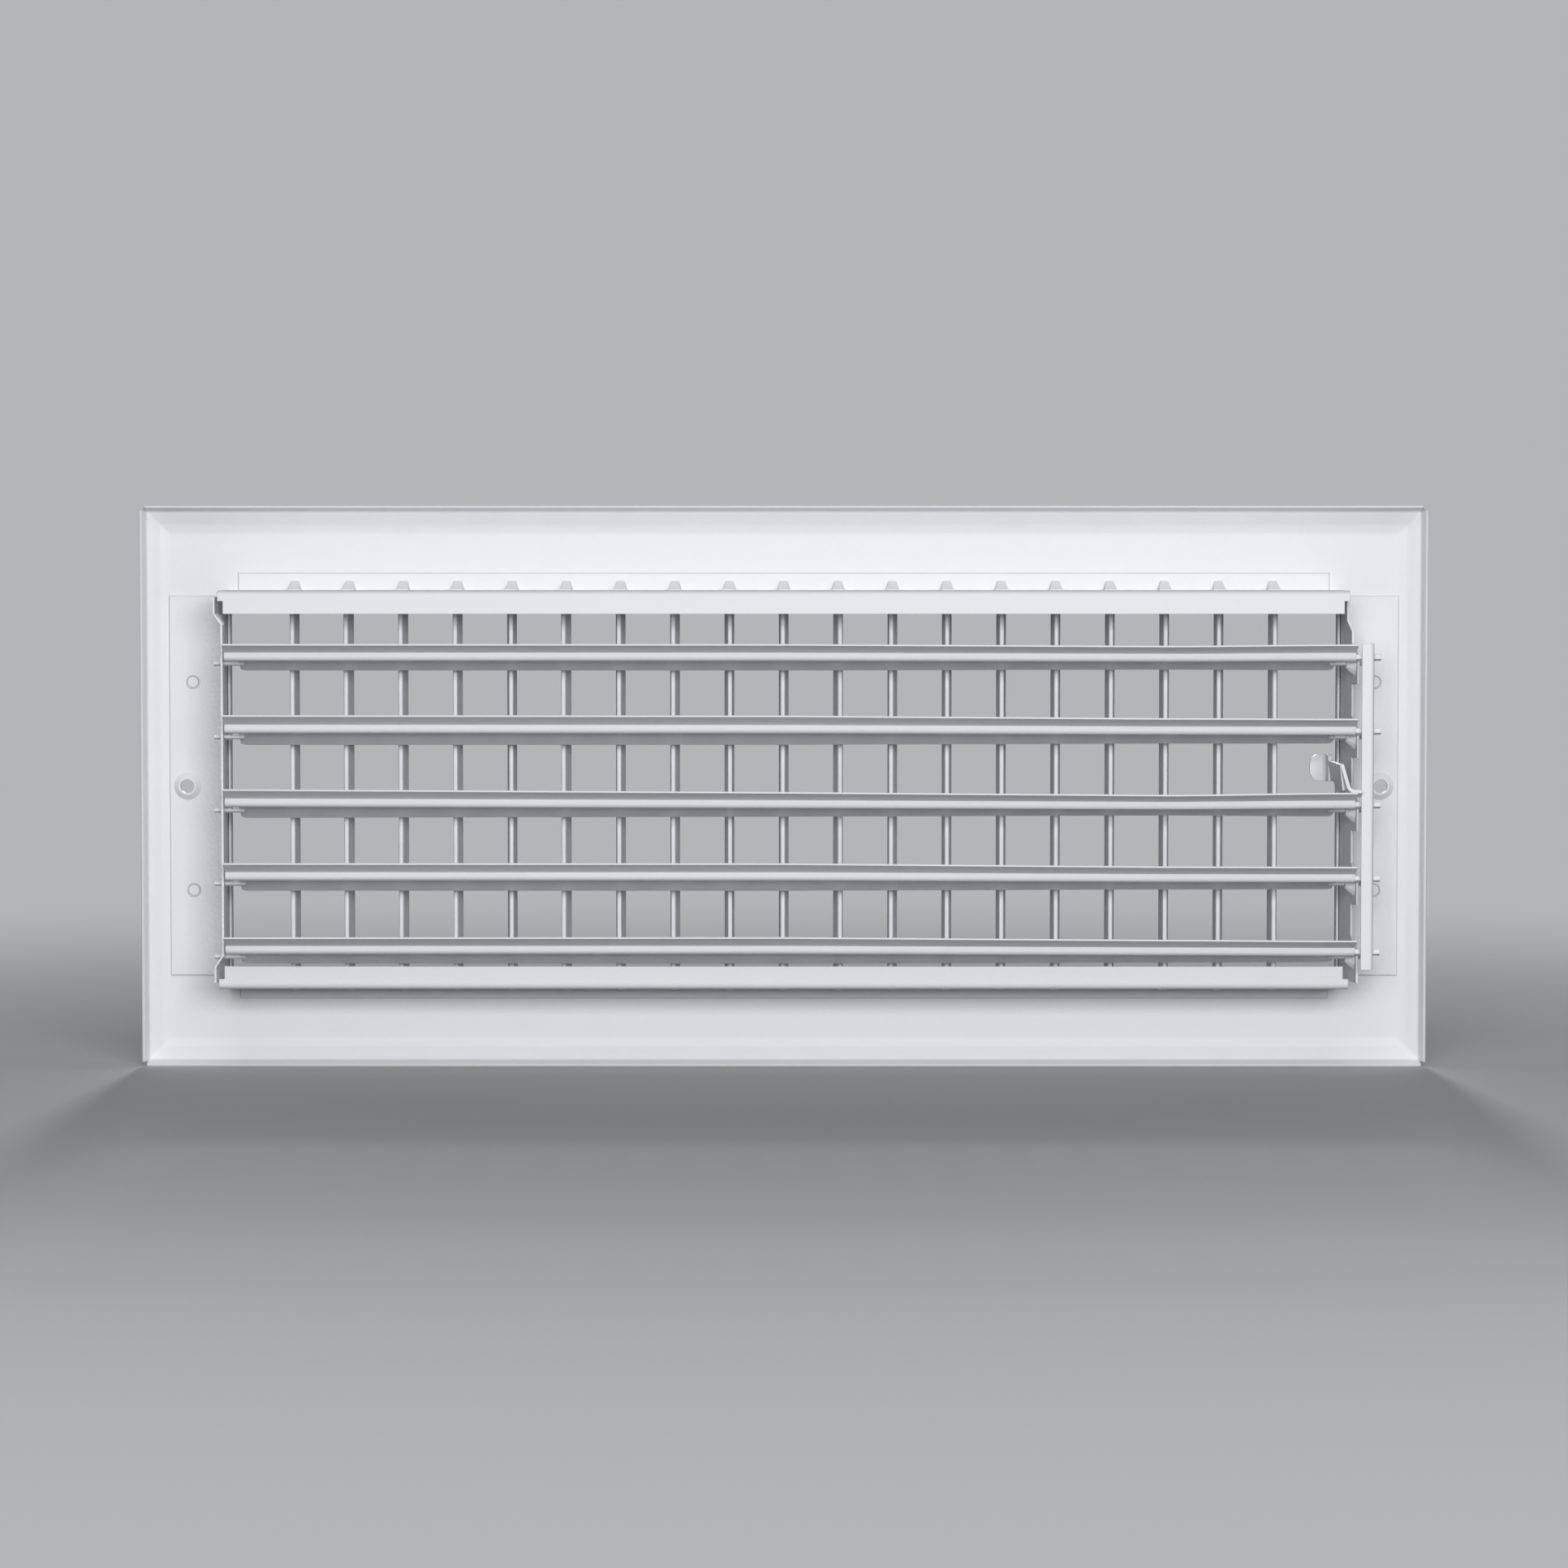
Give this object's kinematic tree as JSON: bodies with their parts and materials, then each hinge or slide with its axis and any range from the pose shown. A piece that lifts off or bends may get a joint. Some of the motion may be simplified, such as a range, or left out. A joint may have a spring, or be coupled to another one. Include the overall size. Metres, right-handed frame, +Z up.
{
  "type": "supply air register",
  "caption": "White steel supply air register with a pressed face, upright turning deflector blades and a lever-worked multi-shutter damper behind them.",
  "frame": {"origin": "midway between the two screw holes, on the duct side of their seats", "axes": "+X along the face away from the lever end, +Y away from the room into the duct, +Z up"},
  "size_m": [0.4508, 0.0492, 0.1968],
  "materials": {
    "white_powder_coat": "satin white powder coat"
  },
  "bodies": {
    "frame": {"face_frame": "white_powder_coat", "top_channel": "white_powder_coat", "bottom_channel": "white_powder_coat", "plain_end_bracket": "white_powder_coat", "lever_end_bracket": "white_powder_coat"},
    "deflector_01": {"deflector_01": "white_powder_coat"},
    "deflector_02": {"deflector_02": "white_powder_coat"},
    "deflector_03": {"deflector_03": "white_powder_coat"},
    "deflector_04": {"deflector_04": "white_powder_coat"},
    "deflector_05": {"deflector_05": "white_powder_coat"},
    "deflector_06": {"deflector_06": "white_powder_coat"},
    "deflector_07": {"deflector_07": "white_powder_coat"},
    "deflector_08": {"deflector_08": "white_powder_coat"},
    "deflector_09": {"deflector_09": "white_powder_coat"},
    "deflector_10": {"deflector_10": "white_powder_coat"},
    "deflector_11": {"deflector_11": "white_powder_coat"},
    "deflector_12": {"deflector_12": "white_powder_coat"},
    "deflector_13": {"deflector_13": "white_powder_coat"},
    "deflector_14": {"deflector_14": "white_powder_coat"},
    "deflector_15": {"deflector_15": "white_powder_coat"},
    "deflector_16": {"deflector_16": "white_powder_coat"},
    "deflector_17": {"deflector_17": "white_powder_coat"},
    "deflector_18": {"deflector_18": "white_powder_coat"},
    "deflector_19": {"deflector_19": "white_powder_coat"},
    "damper_1": {"damper_1": "white_powder_coat"},
    "damper_2": {"damper_2": "white_powder_coat"},
    "damper_3": {"damper_3": "white_powder_coat", "operating_lever": "white_powder_coat"},
    "damper_4": {"damper_4": "white_powder_coat"},
    "damper_5": {"damper_5": "white_powder_coat"},
    "link": {"link_bar": "white_powder_coat"}
  },
  "joints": [
    {"name": "deflector_01_turn", "type": "hinge", "parent": "frame", "child": "deflector_01", "pos_m": [0.17145, 0.0006, 0], "axis": [0, 0, 1], "range_deg": [-45, 45]},
    {"name": "deflector_02_turn", "type": "hinge", "parent": "frame", "child": "deflector_02", "pos_m": [0.1524, 0.0006, 0], "axis": [0, 0, 1], "range_deg": [-45, 45]},
    {"name": "deflector_03_turn", "type": "hinge", "parent": "frame", "child": "deflector_03", "pos_m": [0.13335, 0.0006, 0], "axis": [0, 0, 1], "range_deg": [-45, 45]},
    {"name": "deflector_04_turn", "type": "hinge", "parent": "frame", "child": "deflector_04", "pos_m": [0.1143, 0.0006, 0], "axis": [0, 0, 1], "range_deg": [-45, 45]},
    {"name": "deflector_05_turn", "type": "hinge", "parent": "frame", "child": "deflector_05", "pos_m": [0.09525, 0.0006, 0], "axis": [0, 0, 1], "range_deg": [-45, 45]},
    {"name": "deflector_06_turn", "type": "hinge", "parent": "frame", "child": "deflector_06", "pos_m": [0.0762, 0.0006, 0], "axis": [0, 0, 1], "range_deg": [-45, 45]},
    {"name": "deflector_07_turn", "type": "hinge", "parent": "frame", "child": "deflector_07", "pos_m": [0.05715, 0.0006, 0], "axis": [0, 0, 1], "range_deg": [-45, 45]},
    {"name": "deflector_08_turn", "type": "hinge", "parent": "frame", "child": "deflector_08", "pos_m": [0.0381, 0.0006, 0], "axis": [0, 0, 1], "range_deg": [-45, 45]},
    {"name": "deflector_09_turn", "type": "hinge", "parent": "frame", "child": "deflector_09", "pos_m": [0.01905, 0.0006, 0], "axis": [0, 0, 1], "range_deg": [-45, 45]},
    {"name": "deflector_10_turn", "type": "hinge", "parent": "frame", "child": "deflector_10", "pos_m": [0, 0.0006, 0], "axis": [0, 0, 1], "range_deg": [-45, 45]},
    {"name": "deflector_11_turn", "type": "hinge", "parent": "frame", "child": "deflector_11", "pos_m": [-0.01905, 0.0006, 0], "axis": [0, 0, 1], "range_deg": [-45, 45]},
    {"name": "deflector_12_turn", "type": "hinge", "parent": "frame", "child": "deflector_12", "pos_m": [-0.0381, 0.0006, 0], "axis": [0, 0, 1], "range_deg": [-45, 45]},
    {"name": "deflector_13_turn", "type": "hinge", "parent": "frame", "child": "deflector_13", "pos_m": [-0.05715, 0.0006, 0], "axis": [0, 0, 1], "range_deg": [-45, 45]},
    {"name": "deflector_14_turn", "type": "hinge", "parent": "frame", "child": "deflector_14", "pos_m": [-0.0762, 0.0006, 0], "axis": [0, 0, 1], "range_deg": [-45, 45]},
    {"name": "deflector_15_turn", "type": "hinge", "parent": "frame", "child": "deflector_15", "pos_m": [-0.09525, 0.0006, 0], "axis": [0, 0, 1], "range_deg": [-45, 45]},
    {"name": "deflector_16_turn", "type": "hinge", "parent": "frame", "child": "deflector_16", "pos_m": [-0.1143, 0.0006, 0], "axis": [0, 0, 1], "range_deg": [-45, 45]},
    {"name": "deflector_17_turn", "type": "hinge", "parent": "frame", "child": "deflector_17", "pos_m": [-0.13335, 0.0006, 0], "axis": [0, 0, 1], "range_deg": [-45, 45]},
    {"name": "deflector_18_turn", "type": "hinge", "parent": "frame", "child": "deflector_18", "pos_m": [-0.1524, 0.0006, 0], "axis": [0, 0, 1], "range_deg": [-45, 45]},
    {"name": "deflector_19_turn", "type": "hinge", "parent": "frame", "child": "deflector_19", "pos_m": [-0.17145, 0.0006, 0], "axis": [0, 0, 1], "range_deg": [-45, 45]},
    {"name": "damper_3_swing", "type": "hinge", "parent": "frame", "child": "damper_3", "pos_m": [0, 0.0248, -0.0072], "axis": [1, 0, 0], "range_deg": [0, 64]},
    {"name": "damper_1_swing", "type": "hinge", "parent": "frame", "child": "damper_1", "pos_m": [0, 0.0248, 0.0436], "axis": [1, 0, 0], "range_deg": [0, 64]},
    {"name": "damper_2_swing", "type": "hinge", "parent": "frame", "child": "damper_2", "pos_m": [0, 0.0248, 0.0182], "axis": [1, 0, 0], "range_deg": [0, 64]},
    {"name": "damper_4_swing", "type": "hinge", "parent": "frame", "child": "damper_4", "pos_m": [0, 0.0248, -0.0326], "axis": [1, 0, 0], "range_deg": [0, 64]},
    {"name": "damper_5_swing", "type": "hinge", "parent": "frame", "child": "damper_5", "pos_m": [0, 0.0248, -0.058], "axis": [1, 0, 0], "range_deg": [0, 64]},
    {"name": "link_on_crank", "type": "hinge", "parent": "damper_3", "child": "link", "pos_m": [-0.2024, 0.03303, -0.00495], "axis": [1, 0, 0], "range_deg": [-64, 0]}
  ],
  "couplings": [
    {"joint": "damper_1_swing", "follows": "damper_3_swing", "ratio": 1},
    {"joint": "damper_2_swing", "follows": "damper_3_swing", "ratio": 1},
    {"joint": "damper_4_swing", "follows": "damper_3_swing", "ratio": 1},
    {"joint": "damper_5_swing", "follows": "damper_3_swing", "ratio": 1},
    {"joint": "link_on_crank", "follows": "damper_3_swing", "ratio": -1}
  ]
}
